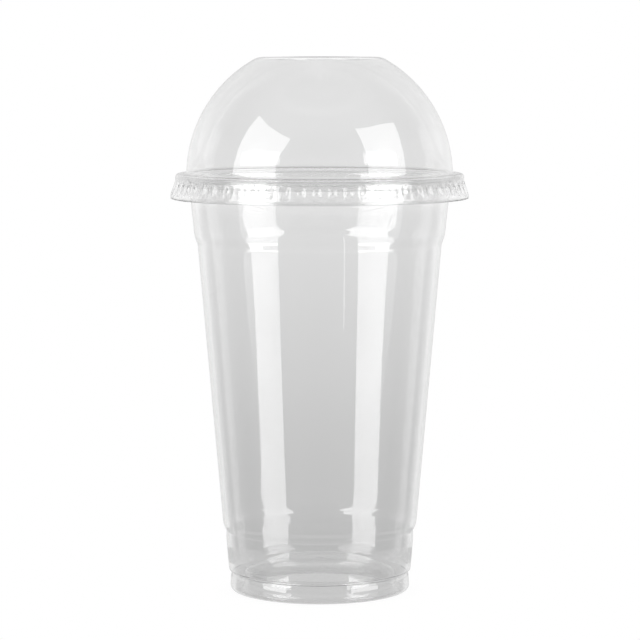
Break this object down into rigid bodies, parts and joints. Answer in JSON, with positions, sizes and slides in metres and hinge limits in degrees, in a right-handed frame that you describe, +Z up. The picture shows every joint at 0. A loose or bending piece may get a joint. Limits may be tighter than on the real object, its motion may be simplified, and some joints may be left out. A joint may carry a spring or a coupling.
{
  "type": "lidded cold drink cup",
  "caption": "Clear plastic cold drink cup with a stepped, tapered wall and a press-on dome lid with a round straw hole and a skirt of snap nubs.",
  "frame": {"origin": "centre of the foot ring on the table, on the cup's axis", "axes": "+Z up along the cup's axis, from the foot to the dome; +X and +Y level, with a snap nub on +X and one on +Y"},
  "size_m": [0.1024, 0.1024, 0.1844],
  "materials": {
    "cup_plastic": "clear, smooth and glossy",
    "lid_plastic": "clear, thin and glossy"
  },
  "bodies": {
    "cup_body": {"cup": "cup_plastic"},
    "lid_body": {"dome_lid": "lid_plastic"}
  },
  "joints": [
    {"name": "lid_lift", "type": "slide", "parent": "cup_body", "child": "lid_body", "axis": [0, 0, 1], "range_m": [0, 0.1]}
  ]
}
